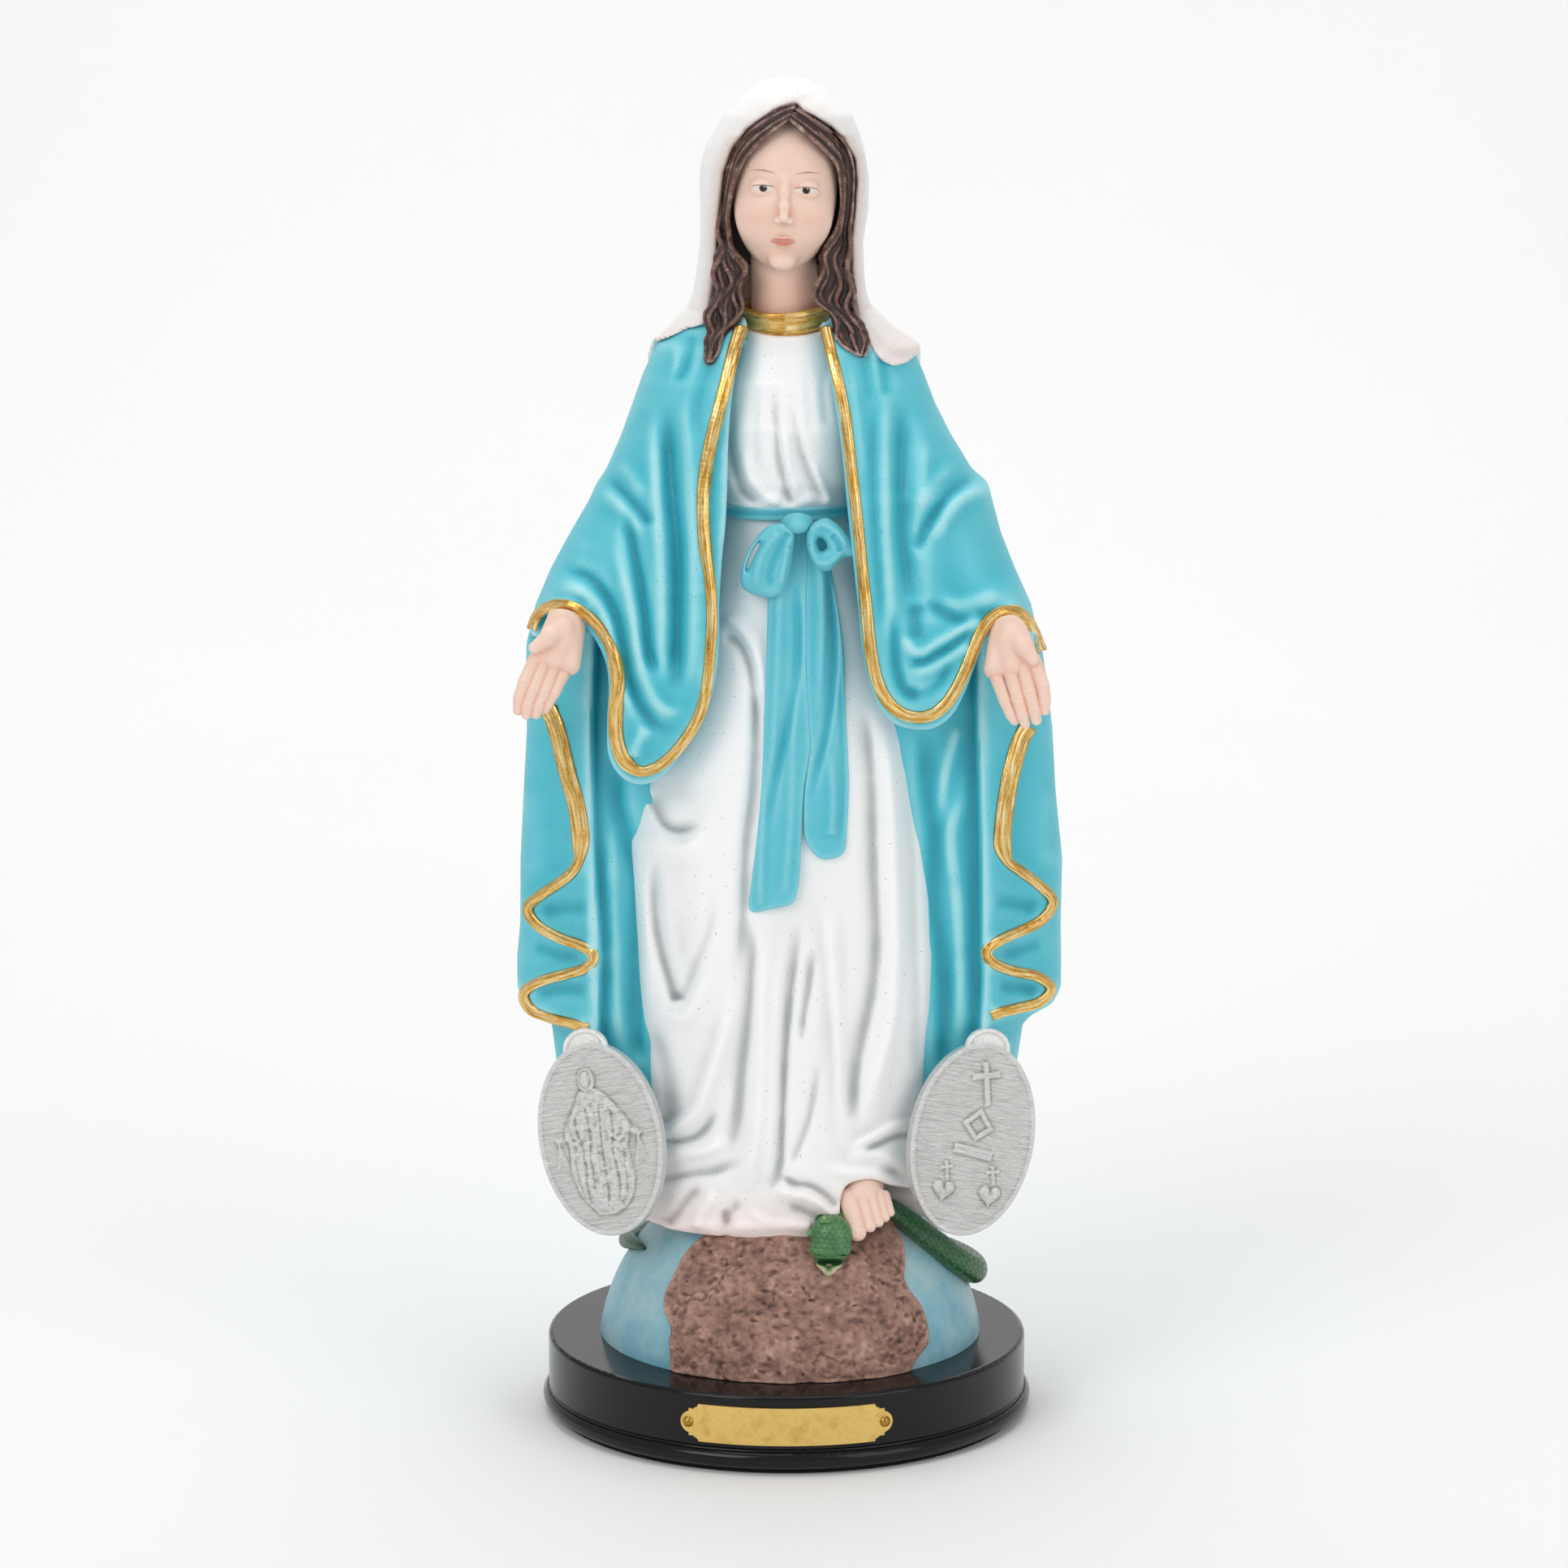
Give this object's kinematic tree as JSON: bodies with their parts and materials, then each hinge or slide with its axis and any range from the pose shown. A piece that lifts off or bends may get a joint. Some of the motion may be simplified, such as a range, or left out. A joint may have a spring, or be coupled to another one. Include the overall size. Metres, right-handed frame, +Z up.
{
  "type": "madonna statue",
  "caption": "Painted resin figure of a standing veiled woman in a blue mantle with open hands, on a globe with a serpent, beside oval medals, over a round black plinth.",
  "frame": {"origin": "centre of the felt pad's underside, on the table", "axes": "+Z up along the figure, the figure faces -Y, +X is to the right of someone looking at its face"},
  "size_m": [0.122, 0.1116, 0.3043],
  "materials": {
    "felt": "matte",
    "black_lacquer": "gloss",
    "plate_brass": "satin",
    "pin_brass": "polished",
    "zinc_steel": "satin",
    "insert_brass": "satin",
    "sea_paint": "matte",
    "land_paint": "matte",
    "serpent_paint": "satin",
    "skin_paint": "satin",
    "gown_paint": "satin",
    "gold_paint": "satin",
    "mantle_paint": "satin",
    "sash_paint": "satin",
    "hair_paint": "satin",
    "veil_paint": "matte",
    "silver_paint": "satin"
  },
  "bodies": {
    "root": {"felt_pad": "felt", "plinth": "black_lacquer", "nameplate": "plate_brass", "nameplate_pins": "pin_brass", "fixing_screw": "zinc_steel", "screw_washer": "zinc_steel", "screw_insert": "insert_brass", "globe": "sea_paint", "land_relief": "land_paint", "serpent": "serpent_paint", "foot": "skin_paint", "gown": "gown_paint", "collar": "gold_paint", "sash_belt": "sash_paint", "bow_knot": "sash_paint", "bow_loops": "sash_paint", "sash_tail_long": "sash_paint", "sash_tail_short": "sash_paint", "mantle": "mantle_paint", "flap_trim_left": "gold_paint", "flap_trim_right": "gold_paint", "hem_trim_left": "gold_paint", "hem_trim_right": "gold_paint", "hand_left": "skin_paint", "hand_right": "skin_paint", "head": "skin_paint", "hair": "hair_paint", "veil": "veil_paint", "medal_left": "silver_paint", "medal_right": "silver_paint", "medal_bails": "silver_paint"}
  },
  "joints": []
}
